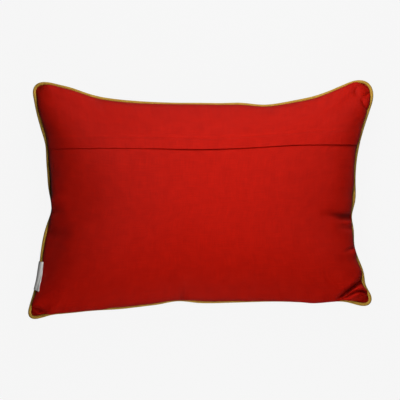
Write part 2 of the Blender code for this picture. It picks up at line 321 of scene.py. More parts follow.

# Painted shade: the cloth's colour is darkened towards the ditch at the seam and in the deepest
# folds, where shade falls
SEAM_PAINTED_SHADE_REACH = 0.0065
FOLD_PAINTED_SHADE_DEPTH = 0.009
PAINTED_SHADE_STRENGTH = 0.6
PAINTED_SHADE_COLOUR_SHARE = 0.2

# Weave of every fabric: how its slubs and mottling lie along u and v, and what they do
SLUB_SCALES = ((30.0, 620.0, 1.0), (620.0, 30.0, 1.0))
SLUB_RELIEF = 1.2
MOTTLE_SCALE = (55.0, 55.0, 1.0)
MOTTLE_DETAIL = 4.0
MOTTLE_CONTRAST = 0.52
SLUB_CONTRAST = 1.15
SHADE_START = -0.135
# How much the painted highlight along the hem's fold lightens the cloth
HEM_PAINTED_HIGHLIGHT = 0.13
SHADE_RANGE = (0.45, 0.95)
CLOTH_SPECULAR = 0.08
CLOTH_SHEEN_ROUGHNESS = 0.45

# Fabrics, each with its dark and its light shade, and its thread pitch and relief in metres
FABRICS = {
    "red_cotton": {
        "colours": [(0.42, 0.0042, 0.0007, 1), (0.56, 0.0078, 0.0019, 1)], "pitch": 0.0005,
        "relief": 0.00012, "roughness": 0.5, "sheen": 0.04, "tint": (1.0, 0.12, 0.06, 1),
    },
    "olive_gold_piping": {
        "colours": [(0.4, 0.222, 0.026, 1), (0.62, 0.37, 0.058, 1)], "pitch": 0.0004,
        "relief": 0.0001, "roughness": 0.6, "sheen": 0.2, "tint": (1.0, 0.85, 0.5, 1),
    },
    "white_tape": {
        "colours": [(0.8, 0.78, 0.75, 1), (0.9, 0.88, 0.86, 1)], "pitch": 0.0003,
        "relief": 0.00005, "roughness": 0.7, "sheen": 0.1, "tint": (1, 1, 1, 1),
    },
    "red_thread": {
        "colours": [(0.36, 0.01, 0.006, 1), (0.5, 0.018, 0.01, 1)], "pitch": 0.0002,
        "relief": 0.00003, "roughness": 0.6, "sheen": 0.1, "tint": (1.0, 0.5, 0.4, 1),
        "mapped": False,
    },
}

# Floor and surroundings: what the camera sees of them, and what the floor throws back
WORLD_SEEN = (0.922, 0.922, 0.922, 1)
FLOOR_SEEN = (0.945, 0.945, 0.945, 1)
FLOOR_SEEN_SHARE = 0.96
FLOOR_THROWN = (0.45, 0.45, 0.45, 1)
FLOOR_ROUGHNESS = 0.9
FLOOR_HALF = 10

SEED = 7
NOISE_PLACES = {"gape": 3.1, "puckers": 7.7, "piping": 5.5}


def smooth(value):
    """0 below 0, 1 above 1, and a soft step between them. Takes numbers or arrays."""
    value = np.clip(value, 0.0, 1.0)
    return value * value * (3 - 2 * value)


def side_point(name, share):
    """A point of one drawn-in side, share of the way along it."""
    side = SIDES[name]
    start, end = CORNERS[side["start"]], CORNERS[side["end"]]
    along = (end - start).normalized()
    turn = 1 if name in ("bottom", "right") else -1
    inward = Vector((-along.y, along.x)) * turn
    depth = side["draw_in"] * (1 - abs(2 * share - 1) ** side["fullness"])
    for place, nip, spread in NIPS[name]:
        depth += nip * math.exp(-(((share - place) / spread) ** 2))
    return start.lerp(end, share) + inward * depth


def rounded(a, b):
    """Square coordinates moved so that the square's edge becomes a rectangle with round corners."""
    ring = max(abs(a), abs(b))
    half_width, half_height = ring * COVER_WIDTH / 2, ring * COVER_HEIGHT / 2
    radius = CORNER_ROUNDING * ring**3
    x, y = abs(a) * COVER_WIDTH / 2, abs(b) * COVER_HEIGHT / 2
    turn = None
    if abs(a) >= abs(b) and y > half_height - radius:
        turn = math.radians(45) * (y - half_height + radius) / radius
    elif abs(b) > abs(a) and x > half_width - radius:
        turn = math.radians(90) - math.radians(45) * (x - half_width + radius) / radius
    if turn is not None:
        x = half_width - radius + radius * math.cos(turn)
        y = half_height - radius + radius * math.sin(turn)
    return math.copysign(2 * x / COVER_WIDTH, a), math.copysign(2 * y / COVER_HEIGHT, b)


def raw_plan_point(a, b):
    """Plan position between the four drawn-in sides, before the outline is centred."""
    a, b = rounded(a, b)
    u, v = (a + 1) / 2, (b + 1) / 2
    between_bottom_top = side_point("bottom", u).lerp(side_point("top", u), v)
    between_left_right = side_point("left", v).lerp(side_point("right", v), u)
    bottom = CORNERS["bottom_left"].lerp(CORNERS["bottom_right"], u)
    top = CORNERS["top_left"].lerp(CORNERS["top_right"], u)
    return between_bottom_top + between_left_right - bottom.lerp(top, v)


def crowded(count):
    """count + 1 stations from -1 to 1, closer together near both ends."""
    even = [2 * i / count - 1 for i in range(count + 1)]
    return [s + (math.sin(s * math.pi / 2) - s) * EDGE_CROWDING for s in even]


def lap_line(x):
    """Height in plan of the lap's edge at x, which may be an array."""
    rise = LAP_RISE * (0.5 + 0.5 * np.tanh((x - LAP_RISE_PLACE) / LAP_RISE_LENGTH))
    return LAP_HEIGHT + rise - LAP_SAG * np.exp(-((x / LAP_SAG_LENGTH) ** 2))


def lap_coordinate(a):
    """The b at which the column at a crosses the lap's edge, found by halving."""
    low, high = 0.0, 0.9
    for _ in range(HALVINGS):
        middle = (low + high) / 2
        point = raw_plan_point(a, middle)
        if point.y < lap_line(point.x):
            low = middle
        else:
            high = middle
    return (low + high) / 2


def lapped_rows(a):
    """Every row's b at column a, with row LAP_ROW lying along the lap's edge."""
    stations = crowded(ROWS)
    lap_station = stations[LAP_ROW]
    lap = lap_coordinate(a)
    below = (lap + 1) / (lap_station + 1)
    above = (1 - lap) / (1 - lap_station)
    return [-1 + (s + 1) * below if s <= lap_station else 1 - (1 - s) * above for s in stations]


def seam_ring():
    """The seam's square coordinates, anticlockwise from the bottom left corner."""
    across = crowded(COLUMNS)
    left, right = lapped_rows(-1), lapped_rows(1)
    bottom_run = [(a, -1) for a in across[:-1]]
    right_run = [(1, b) for b in right[:-1]]
    top_run = [(a, 1) for a in across[:0:-1]]
    left_run = [(-1, b) for b in left[:0:-1]]
    return bottom_run + right_run + top_run + left_run


def with_outward(points):
    """Each point of the anticlockwise seam together with the direction out of the cushion."""
    pairs = []
    for i, point in enumerate(points):
        along = (points[(i + 1) % len(points)] - points[i - 1]).normalized()
        pairs.append((point, Vector((along.y, -along.x, 0))))
    return pairs


def outline_middle():
    """Middle of the piping's outer outline."""
    seam = [raw_plan_point(a, b).to_3d() for a, b in seam_ring()]
    reach = PIPING_GAP + 2 * PIPING_RADIUS
    outer = [point + outward * reach for point, outward in with_outward(seam)]
    xs, ys = [p.x for p in outer], [p.y for p in outer]
    return Vector(((min(xs) + max(xs)) / 2, (min(ys) + max(ys)) / 2))


MIDDLE = outline_middle()


def plan_point(a, b):
    return raw_plan_point(a, b) - MIDDLE


def seam_height(a, b):
    return SEAM_HEIGHT - EAR_DROP * (a * b) ** 2


def filling(a, b, crown):
    """How far a face stands off the seam's level before it is simulated."""
    bulge = ((1 - abs(a) ** CROWN_ROUNDNESS) * (1 - abs(b) ** CROWN_ROUNDNESS)) ** CROWN_FULLNESS
    return crown * bulge


def seam_line():
    """Points along the seam and the outward direction at each, anticlockwise."""
    points = []
    for a, b in seam_ring():
        plan = plan_point(a, b)
        points.append(Vector((plan.x, plan.y, seam_height(a, b))))
    return with_outward(points)


def link_object(name, data):
    made = bpy.data.objects.new(name, data)
    bpy.context.scene.collection.objects.link(made)
    return made


def made_object(name, mesh):
    """An object of what a bmesh holds, with its data under the same name."""
    data = bpy.data.meshes.new(name)
    mesh.to_mesh(data)
    mesh.free()
    return link_object(name, data)


def grid_place(vertex, columns, rows):
    """Column and row of a vertex in a new grid, which runs from -1 to 1 both ways."""
    return round((vertex.co.x + 1) / 2 * columns), round((vertex.co.y + 1) / 2 * rows)


def dress(made, material):
    made.data.materials.append(material)
    made.data.shade_smooth()


def surface_of(made):
    """An object's surface, for finding the nearest point on it or where a line meets it."""
    mesh = bmesh.new()
    mesh.from_mesh(made.data)
    surface = BVHTree.FromBMesh(mesh)
    mesh.free()
    return surface


def read_points(mesh, name=None):
    """A mesh's points, or one of its point attributes, as rows of three numbers."""
    rows = np.empty(len(mesh.vertices) * 3, np.float32)
    if name is None:
        mesh.vertices.foreach_get("co", rows)
    else:
        mesh.attributes[name].data.foreach_get("vector", rows)
    return rows.reshape(-1, 3).astype(np.float64)


def write_points(mesh, places):
    mesh.vertices.foreach_set("co", places.astype(np.float32).ravel())
    mesh.update()


def add_point_values(mesh, name, values):
    """A point attribute with one number for each point."""
    attribute = mesh.attributes.new(name, "FLOAT", "POINT")
    attribute.data.foreach_set("value", values.astype(np.float32))


def with_modifiers_applied(made):
    """Replaces an object's mesh by its evaluated one and clears its modifiers."""
    evaluated = made.evaluated_get(bpy.context.evaluated_depsgraph_get())
    finished = bpy.data.meshes.new_from_object(evaluated)
    made.modifiers.clear()
    if made.data.shape_keys:
        made.shape_key_clear()
    made.data = finished


def subdivided(made):
    """Rounds a mesh by subdivision, applied."""
    rounding = made.modifiers.new("rounding", "SUBSURF")
    rounding.levels = ROUNDING_LEVELS
    rounding.render_levels = ROUNDING_LEVELS
    with_modifiers_applied(made)


def rim_share(square):
    """How near a point is to the seam, where it is 1."""
    return max(abs(square.x), abs(square.y))


def is_seam_wall(face, square):
    """Whether a face joins the closure side to the front side."""
    return len({vertex[square].z for vertex in face.verts}) == 2


def cover_grid():
    """Both faces of the cover as one closed grid, blown up to the construction's crown.

    The point attribute square holds each point's place on the cut cloth, from -1 to 1, and which
    face it is on, 1 for the closure side. lap holds how many rows it lies beyond the lap's edge
    and, once the cover is creased, how far it is sunk to make room for the upper panel and how
    deep it lies in a fold, as the share of painted shade that the fold gets.
    """
    columns = [[rounded(a, b) + (a, b) for b in lapped_rows(a)] for a in crowded(COLUMNS)]
    mesh = bmesh.new()
    square = mesh.verts.layers.float_vector.new("square")
    lap = mesh.verts.layers.float_vector.new("lap")
    bmesh.ops.create_grid(mesh, x_segments=COLUMNS, y_segments=ROWS, size=1)
    upper = list(mesh.verts)
    copied = bmesh.ops.extrude_face_region(mesh, geom=list(mesh.faces))
    lower = [item for item in copied["geom"] if isinstance(item, bmesh.types.BMVert)]
    for vertices, face, crown in ((upper, 1, CLOSURE_CROWN), (lower, -1, FRONT_CROWN)):
        for vertex in vertices:
            column, row = grid_place(vertex, COLUMNS, ROWS)
            cut_a, cut_b, a, b = columns[column][row]
            plan = plan_point(a, b)
            stand = SEAM_THICKNESS / 2 + filling(a, b, crown)
            vertex.co = Vector((plan.x, plan.y, seam_height(a, b) + face * stand))
            vertex[square] = Vector((cut_a, cut_b, face))
            vertex[lap] = Vector((row - LAP_ROW, 0, 0))
    bmesh.ops.recalc_face_normals(mesh, faces=list(mesh.faces))
    if mesh.calc_volume(signed=True) < 0:
        bmesh.ops.reverse_faces(mesh, faces=list(mesh.faces))
    kept = mesh.edges.layers.float.new("crease_edge")
    for edge in mesh.edges:
        along_seam = edge.verts[0][square].z == edge.verts[1][square].z
        if along_seam and any(is_seam_wall(face, square) for face in edge.link_faces):
            edge[kept] = 1.0
    return made_object("cushion_cover", mesh)


def settle(cover):
    """Blows the cover up by cloth simulation, from its flat cut and held at its seam."""
    start = read_points(cover.data)
    square = read_points(cover.data, "square")
    cover.shape_key_add(name="filled")
    flat = cover.shape_key_add(name="flat")
    halves = np.array([CUT_WIDTH / 2, CUT_HEIGHT / 2, SEAM_THICKNESS / 2])
    flat.data.foreach_set("co", (square * halves).astype(np.float32).ravel())
    flat.value = 0
    held = cover.vertex_groups.new(name="seam")
    held.add([int(i) for i in np.flatnonzero(seam_distance(square) < HELD_WITHIN)], 1.0, "REPLACE")
    cloth = cover.modifiers.new("filling", "CLOTH")
    settings = cloth.settings
    settings.rest_shape_key = flat
    settings.vertex_group_mass = "seam"
    for name, value in CLOTH.items():
        setattr(settings, name, value)
    settings.effector_weights.gravity = 0
    cloth.collision_settings.use_collision = False
    cloth.collision_settings.use_self_collision = False
    cloth.point_cache.frame_start = 1
    cloth.point_cache.frame_end = SETTLING_FRAMES
    scene = bpy.context.scene
    for step in range(1, SETTLING_FRAMES + 1):
        scene.frame_set(step)
    with_modifiers_applied(cover)
    cover.vertex_groups.clear()
    scene.frame_set(1)
    moved = read_points(cover.data) - start
    length = np.linalg.norm(moved, axis=1, keepdims=True)
    capped = moved * np.minimum(1, MOST_SWELL / np.maximum(length, 1e-9))
    write_points(cover.data, start + capped)


def near_path(places, path):
    """Distance from each place to a path in plan, and the path's amount at its nearest point."""
    path = np.array(path)
    nearest = np.full(len(places), 1e9)
    amount = np.zeros(len(places))
    for start, end in zip(path, path[1:]):
        along = end[:2] - start[:2]
        share = np.clip((places[:, :2] - start[:2]) @ along / (along @ along), 0, 1)
        away = np.linalg.norm(places[:, :2] - start[:2] - share[:, None] * along, axis=1)
        amount = np.where(away < nearest, start[2] + (end[2] - start[2]) * share, amount)
        nearest = np.minimum(away, nearest)
    return nearest, amount


def trough(places, fold):
    """How deep one fold is at each place, below 0 on its lips."""
    away, depth = near_path(places, fold["path"])
    sharpness = CREASE_SHARPNESS if fold["width"] < CREASE_WIDTH else 2
    valley = np.exp(-((away / fold["width"]) ** sharpness))
    lip = np.exp(-((away / (3 * fold["width"])) ** 2))
    return depth * ((1 + fold["lip"]) * valley - fold["lip"] * lip)


def slackness(places, shoulder):
    """Share by which the filling is lower at each place, or below 0 where it is higher."""
    away, share = near_path(places, shoulder["path"])
    return share * np.exp(-((away / shoulder["width"]) ** 2))


def seam_distance(square):
    """How far inside the seam each point lies on the cut cloth."""
    half = np.array([COVER_WIDTH / 2, COVER_HEIGHT / 2])
    past = np.abs(square[:, :2]) * half - (half - CORNER_ROUNDING)
    round_corner = np.linalg.norm(np.maximum(past, 0), axis=1)
    return CORNER_ROUNDING - round_corner - np.minimum(past.max(axis=1), 0)


def gathers(square):
    """Depth of the small gathers along the seam, uneven and fading inwards."""
    dice = random.Random(SEED)
    half_width, half_height = COVER_WIDTH / 2, COVER_HEIGHT / 2
    x, y = square[:, 0] * half_width, square[:, 1] * half_height
    total = np.zeros(len(square))
    sides = [(x, half_height - y, half_width), (x, half_height + y, half_width),
             (y, half_width - x, half_height), (y, half_width + x, half_height)]
    for along, inwards, half in sides:
        place = -half + PUCKER_SPACING * dice.random()
        while place < half:
            drawn = [dice.uniform(*limits) for limits in PUCKER_SPREADS]
            depth, width, reach, lean, spacing = drawn
            depth, width, reach = PUCKER_DEPTH * depth, PUCKER_WIDTH * width, PUCKER_REACH * reach
            away = (along - place - lean * inwards) / (width * (1 + inwards / reach))
            total += depth * np.exp(-(away**2) - (inwards / reach) ** 2)
            place += PUCKER_SPACING * spacing
    return total


def lumps(places):
    """Soft unevenness of the filling, up and down."""
    total = np.zeros(len(places))
    for size, height in ((LUMP_SIZE, LUMP_HEIGHT), (RIPPLE_SIZE, RIPPLE_HEIGHT)):
        total += [height * noise.noise(Vector(place) / size) for place in places]
    return total


def eased(value, steps):
    """Runs smoothly through (place, amount) steps, level at each of them and beyond both ends."""
    spots, amounts = np.array(steps).T
    after = np.clip(np.searchsorted(spots, value), 1, len(spots) - 1)
    share = smooth((value - spots[after - 1]) / (spots[after] - spots[after - 1]))
    return amounts[after - 1] + (amounts[after] - amounts[after - 1]) * share


def overhang(places, square, stand):
    """Outward shift of each place, as x and y, where the cloth bulges over the piping."""
    shift = np.zeros((len(places), 2))
    level = np.maximum(stand - OVERHANG_RISE, 0) / OVERHANG_LEVEL
    swell = level * np.exp(1 - level)
    out = {"bottom": (0, -1), "left": (-1, 0), "right": (1, 0), "top": (0, 1)}
    half = np.array([COVER_WIDTH / 2, COVER_HEIGHT / 2])
    inwards = half - np.abs(square[:, :2]) * half
    for side, steps in OVERHANGS.items():
        direction = np.array(out[side])
        axis = 0 if direction[0] else 1
        along = places[:, 1 - axis]
        nearer = smooth((inwards[:, 1 - axis] - inwards[:, axis]) / OVERHANG_CORNER_BLEND + 0.5)
        facing = smooth(square[:, :2] @ direction * OVERHANG_MIDDLE_FADING)
        shift += (eased(along, steps) * nearer * facing * swell)[:, None] * direction
    return shift


def lap_share(x):
    """How much of its full step the lap's edge makes at each x."""
    return eased(x, LAP_STEP_SHARES)


def panel_fullness(x):
    """Share of the panel's thickness that shows at x, less where its edge is drawn flat."""
    return THINNEST_PANEL + (1 - THINNEST_PANEL) * smooth(lap_share(x) / LAP_FULL_SHARE)


def hem_line(x):
    """Height in plan of the hem's upper border at x."""
    return lap_line(x) + eased(x, HEM_FOLDS)


def crease(cover):
    """Adds the folds, gathers, lumps and overhangs, and presses the front face flat."""
    places = read_points(cover.data)
    square = read_points(cover.data, "square")
    face = np.sign(square[:, 2])
    level = seam_height(square[:, 0], square[:, 1])
    stand = np.abs(places[:, 2] - level)
    shift = overhang(places, square, stand) * (square[:, 2] > 0)[:, None]
    moved = places[:, :2] + shift
    folded = sum(trough(moved, fold) for fold in FOLDS.values())
    dents = folded + gathers(square) - lumps(places)
    dents += stand * sum(slackness(moved, shoulder) for shoulder in SHOULDERS.values())
    fading = np.clip(stand / THIN_FILLING, 0, 1)
    dents = np.where(dents > 0, np.minimum(dents, stand * MOST_OF_FILLING), dents * fading)
    x, y = places[:, 0], places[:, 1]
    above = y - lap_line(x)
    hollow = LAP_HOLLOW * lap_share(x) * np.exp(np.minimum(above, 0) / LAP_HOLLOW_REACH)
    room = UNDERLAP_SINK * panel_fullness(x)
    sunk = room * smooth((above + UNDERLAP_START) / UNDERLAP_SLOPE) + hollow
    sunk = np.where(square[:, 2] > 0.5, sunk * fading, 0)
    dents += sunk
    lap = read_points(cover.data, "lap")
    # The third value is the share of painted shade in the folds
    lap[:, 1:] = np.stack([sunk, smooth(folded / FOLD_PAINTED_SHADE_DEPTH)], 1)
    cover.data.attributes["lap"].data.foreach_set("vector", lap.astype(np.float32).ravel())
    places[:, 2] -= face * dents
    places[:, :2] += shift
    low = places[:, 2] < REST_SOFTNESS
    pressed = np.maximum(places[:, 2] + REST_SOFTNESS, 0) ** 2 / (4 * REST_SOFTNESS)
    places[:, 2] = np.where(low, pressed, places[:, 2])
    write_points(cover.data, places)


def lay_weave(made):
    """Gives a piece of the cover a UV map in metres of its flat cut, and a point attribute for the
    painted shade, which is 1 in the ditch at the seam and in the deepest folds, where shade falls."""
    square = read_points(made.data, "square")
    flat = square[:, :2] * [CUT_WIDTH / 2, CUT_HEIGHT / 2]
    corners = np.empty(len(made.data.loops), np.int32)
    made.data.loops.foreach_get("vertex_index", corners)
    layer = made.data.uv_layers.new(name="weave")
    layer.data.foreach_set("uv", flat[corners].astype(np.float32).ravel())
    # Painted shade: the cloth's colour is darkened near the seam's ditch and in deep folds
    depth = np.exp(-((seam_distance(square) / SEAM_PAINTED_SHADE_REACH) ** 2))
    depth = np.maximum(depth, read_points(made.data, "lap")[:, 2])
    add_point_values(made.data, "painted_shade", depth)


def refined(made, from_row, to_row, rim):
    """Cuts the closure side's faces in four where all their corners lie in the band."""
    mesh = bmesh.new()
    mesh.from_mesh(made.data)
    square = mesh.verts.layers.float_vector["square"]
    lap = mesh.verts.layers.float_vector["lap"]
    inside = {
        vertex for vertex in mesh.verts
        if vertex[square].z > 0.5 and from_row < vertex[lap].x < to_row
        and rim_share(vertex[square]) < rim
    }
    edges = [edge for edge in mesh.edges if all(vertex in inside for vertex in edge.verts)]
    bmesh.ops.subdivide_edges(mesh, edges=edges, cuts=1, use_grid_fill=True, smooth=1.0)
    mesh.to_mesh(made.data)
    mesh.free()


def cushion_cover(material):
    """The filled cover: front panel and lower back panel, and the cloth under the lap."""
    cover = cover_grid()
    settle(cover)
    subdivided(cover)
    for band in FINER_BANDS:
        refined(cover, **band)
    crease(cover)
    lay_weave(cover)
    dress(cover, material)
    return cover


def upper_back_panel(cover, material):
    """The panel that laps over the lower one, with its turned hem along the lap."""
    mesh = bmesh.new()
    mesh.from_mesh(cover.data)
    square = mesh.verts.layers.float_vector["square"]
    lap = mesh.verts.layers.float_vector["lap"]
    others = [v for v in mesh.verts if v[square].z < 0.9 or v[lap].x < -0.01]
    bmesh.ops.delete(mesh, geom=others, context="VERTS")
    panel = made_object("back_panel", mesh)
    subdivided(panel)
    places = read_points(panel.data)
    square = read_points(panel.data, "square")
    normals = np.empty(len(panel.data.vertices) * 3, np.float32)
    panel.data.vertices.foreach_get("normal", normals)
    normals = normals.reshape(-1, 3)
    across, up = places[:, 0], places[:, 1]
    above = up - lap_line(across)
    inside = smooth(seam_distance(square) / SEAM_THINNING)
    full = THINNEST_PANEL + (1 - THINNEST_PANEL) * inside
    full = np.minimum(full, panel_fullness(across))
    edge = np.exp(-np.maximum(above, 0) / EDGE_LIFT_REACH)
    spot = NOISE_PLACES["gape"]
    gape = np.array([noise.noise(Vector((x / LAP_GAPE_LENGTH, spot, 0))) for x in across])
    gape = 1 + LAP_GAPE_CHANGE * gape
    step = LAP_STEP * lap_share(across) * gape * (LAP_REST + (1 - LAP_REST) * edge)
    long, deep = HEM_PUCKER_SIZE
    spot = NOISE_PLACES["puckers"]
    puckers = [noise.noise(Vector((x / long, y / deep, spot))) for x, y in places[:, :2]]
    past_hem = up - hem_line(across)
    hem = 1 - smooth(past_hem / HEM_FOLD_SLOPE + 0.5)
    groove = np.exp(-(((past_hem + HEM_STITCH_INSET) / HEM_STITCH_GROOVE_WIDTH) ** 2))
    puckered = HEM_PUCKER * np.array(puckers) * hem
    step += (HEM_RAISE * hem + puckered - HEM_STITCH_GROOVE * groove) * full
    sunk = read_points(panel.data, "lap")[:, 1]
    rise = np.maximum(sunk - PANEL_THICKNESS * full + step, PANEL_GAP)
    lean = smooth(above / PANEL_LEAN_REACH)[:, None]
    write_points(panel.data, places + (normals * lean + [0, 0, 1] * (1 - lean)) * rise[:, None])
    # Where the hem's fold lies, which is lightened there as a painted highlight
    add_point_values(panel.data, "pressed", np.exp(-((past_hem / HEM_PAINTED_HIGHLIGHT_WIDTH) ** 2)))
    thin = panel.vertex_groups.new(name="thin")
    for vertex, weight in enumerate(full):
        thin.add([vertex], float(weight), "REPLACE")
    lay_weave(panel)
    thickness = panel.modifiers.new("thickness", "SOLIDIFY")
    thickness.thickness = PANEL_THICKNESS
    thickness.offset = 1.0
    thickness.vertex_group = "thin"
    with_modifiers_applied(panel)
    dress(panel, material)
    return panel


def hem_stitching(panel, material):
    """The row of stitches that holds the hem, each a small rounded bar sunk into the cloth."""
    surface = surface_of(panel)
    mesh = bmesh.new()
    dice = random.Random(SEED + 1)
    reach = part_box("upper_back_panel")
    x = reach[0].x + STITCH_ROW_MARGIN
    while x < reach[1].x - STITCH_ROW_MARGIN:
        y = float(hem_line(np.array([x]))[0]) - HEM_STITCH_INSET
        x_next = x + STITCH_LENGTH * dice.uniform(*STITCH_LENGTH_SPREAD)
        hits = [surface.ray_cast(Vector((at, y, 1)), Vector((0, 0, -1))) for at in (x, x_next)]
        if all(hit[0] is not None for hit in hits):
            add_stitch(mesh, hits[0][0], hits[1][0], hits[0][1])
        x += STITCH_PITCH * dice.uniform(*STITCH_PITCH_SPREAD)
    stitching = made_object("hem_stitching", mesh)
    dress(stitching, material)
    return stitching


def add_stitch(mesh, start, end, normal):
    """One stitch between two points of the cloth."""
    made = bmesh.ops.create_uvsphere(mesh, u_segments=6, v_segments=4, radius=0.5)["verts"]
    along = (end - start).normalized()
    across = normal.cross(along).normalized()
    up = along.cross(across)
    middle = (start + end) / 2 + up * STITCH_WIDTH * (0.5 - STITCH_SINK)
    length = (end - start).length
    for vertex in made:
        local = vertex.co.copy()
        vertex.co = (
            middle + along * local.z * length + across * local.x * STITCH_WIDTH
            + up * local.y * STITCH_WIDTH
        )


def piping(material):
    """The covered cord sewn in all round, a closed tube that follows the seam."""
    seam = seam_line()
    mesh = bmesh.new()
    layer = mesh.loops.layers.uv.new("weave")
    count = len(seam)
    bmesh.ops.create_grid(mesh, x_segments=count, y_segments=PIPING_SIDES, size=1)
    lengths = [0.0]
    for i in range(count):
        lengths.append(lengths[-1] + (seam[(i + 1) % count][0] - seam[i][0]).length)
    around = 2 * math.pi * PIPING_RADIUS
    for face in mesh.faces:
        for corner in face.loops:
            column, row = grid_place(corner.vert, count, PIPING_SIDES)
            side = row / PIPING_SIDES
            corner[layer].uv = (lengths[column] + side * around, lengths[column] - side * around)
    for vertex in mesh.verts:
        column, _ = grid_place(vertex, count, PIPING_SIDES)
        turn = (vertex.co.y + 1) * math.pi
        point, outward = seam[column % count]
        here = lengths[column % count]
        spot = Vector((here / PIPING_UNEVEN_LENGTH, 0, NOISE_PLACES["piping"]))
        radius = PIPING_RADIUS * (1 + noise.noise(spot) * PIPING_UNEVENNESS)
        centre = point + outward * (PIPING_GAP + PIPING_RADIUS)
        up = Vector((0, 0, radius * math.sin(turn)))
        vertex.co = centre + outward * radius * math.cos(turn) + up
    bmesh.ops.remove_doubles(mesh, verts=list(mesh.verts), dist=PIPING_MERGE_DISTANCE)
    bmesh.ops.recalc_face_normals(mesh, faces=list(mesh.faces))
    cord = made_object("piping_cord", mesh)
    dress(cord, material)
    return cord


def label_stations():
    """Seam points and outward directions evenly between the label's two ends, top to bottom."""
    left = [(p, out) for p, out in seam_line() if p.x < 0 and abs(out.x) > abs(out.y)]
    left.sort(key=lambda station: -station[0].y)
    stations = []
    for step in range(LABEL_COLUMNS + 1):
        y = LABEL_TOP + (LABEL_BOTTOM - LABEL_TOP) * step / LABEL_COLUMNS
        for (p, out), (q, next_out) in zip(left, left[1:]):
            if p.y >= y >= q.y:
                share = (p.y - y) / (p.y - q.y)
                stations.append((p.lerp(q, share), out.lerp(next_out, share)))
                break
    top, bottom = stations[0][0], stations[-1][0]
    straight = [top.lerp(bottom, step / LABEL_COLUMNS) for step in range(LABEL_COLUMNS + 1)]
    return [(p.lerp(q, LABEL_STRAIGHTNESS), out) for (p, out), q in zip(stations, straight)]


def label_section():
    """The label's section as (outward, up) from the seam: out of the ditch, a soft fold up on the
    cloth's edge, over the piping and down."""
    section = []
    bend = [Vector(place) for place in LABEL_BEND]
    last = len(bend) - 1
    for step in range(LABEL_STEPS + 1):
        share = step / LABEL_STEPS * last
        before = min(int(share), last - 1)
        p, q, r, s = [bend[min(max(before + i, 0), last)] for i in (-1, 0, 1, 2)]
        t = share - before
        section.append(
            (q * 2 + (r - p) * t + (p * 2 - q * 5 + r * 4 - s) * t**2
             + (q * 3 - p - r * 3 + s) * t**3) / 2
        )
    return section


def side_label(cover, material):
    """The blank folded tape sewn into the left seam, clear of the cover."""
    surface = surface_of(cover)
    stations, section = label_stations(), label_section()
    mesh = bmesh.new()
    layer = mesh.loops.layers.uv.new("weave")
    bmesh.ops.create_grid(mesh, x_segments=LABEL_COLUMNS, y_segments=LABEL_STEPS, size=1)
    for face in mesh.faces:
        for corner in face.loops:
            place = corner.vert.co
            corner[layer].uv = ((place.x + 1) / 2 * LABEL_CUT[0], (place.y + 1) / 2 * LABEL_CUT[1])
    for vertex in mesh.verts:
        column, row = grid_place(vertex, LABEL_COLUMNS, LABEL_STEPS)
        base, outward = stations[column]
        out, up = section[row]
        phase = LABEL_WAVE["turn"] * column / LABEL_COLUMNS + LABEL_WAVE["start"]
        wave = LABEL_WAVE["height"] * math.sin(phase) * row / LABEL_STEPS
        bulge = math.exp(-(((out - LABEL_FAN_PLACE) / LABEL_FAN_REACH) ** 2))
        fan = LABEL_FAN * column / LABEL_COLUMNS * bulge
        vertex.co = base + outward * (out + wave - fan) + Vector((0, 0, up))
        for _ in range(LABEL_LIFTS):
            near, normal, _, _ = surface.find_nearest(vertex.co)
            above = (vertex.co - near).dot(normal)
            if above < LABEL_THICKNESS + LABEL_GAP:
                vertex.co += normal * (LABEL_THICKNESS + LABEL_GAP - above)
    bmesh.ops.recalc_face_normals(mesh, faces=list(mesh.faces))
    label = made_object("tape_label", mesh)
    lowest = min(label.data.polygons, key=lambda polygon: polygon.center.z)
    thickness = label.modifiers.new("thickness", "SOLIDIFY")
    thickness.thickness = LABEL_THICKNESS
    thickness.offset = 1.0 if lowest.normal.x < 0 else -1.0
    with_modifiers_applied(label)
    dress(label, material)
    label.data.set_sharp_from_angle(angle=math.radians(LABEL_SHARP_ANGLE))
    return label


def set_inputs(tree, node, inputs):
    """Sets a node's inputs, by name or number, to values or to sockets they are linked to."""
    for name, value in inputs.items():
        if isinstance(value, bpy.types.NodeSocket):
            tree.links.new(value, node.inputs[name])
        else:
            node.inputs[name].default_value = value


def add_node(tree, kind, inputs):
    node = tree.nodes.new("ShaderNode" + kind)
    set_inputs(tree, node, inputs)
    return node


def add_math(tree, operation, *values):
    """A Math node; its inputs are numbers or sockets. Returns its output."""
    node = tree.nodes.new("ShaderNodeMath")
    node.operation = operation
    set_inputs(tree, node, dict(enumerate(values)))
    return node.outputs[0]


def stretched_noise(tree, vector, scale, detail=2.0):
    """Noise whose grain is set apart along u and v. Returns its value, from 0 to 1."""
    mapping = add_node(tree, "Mapping", {"Scale": scale, "Vector": vector})
    vector = mapping.outputs["Vector"]
    grain = add_node(tree, "TexNoise", {"Scale": 1.0, "Detail": detail, "Vector": vector})
    return grain.outputs["Fac"]


def thread_tops(tree, place):
    """Round tops of threads that lie 1 apart across place."""
    wave = add_math(tree, "SINE", add_math(tree, "MULTIPLY", place, math.pi))
    return add_math(tree, "ABSOLUTE", wave)


def point_value(tree, name):
    """What a point attribute says, or 0 on a piece without it."""
    node = add_node(tree, "Attribute", {})
    node.attribute_name = name
    return node.outputs["Fac"]


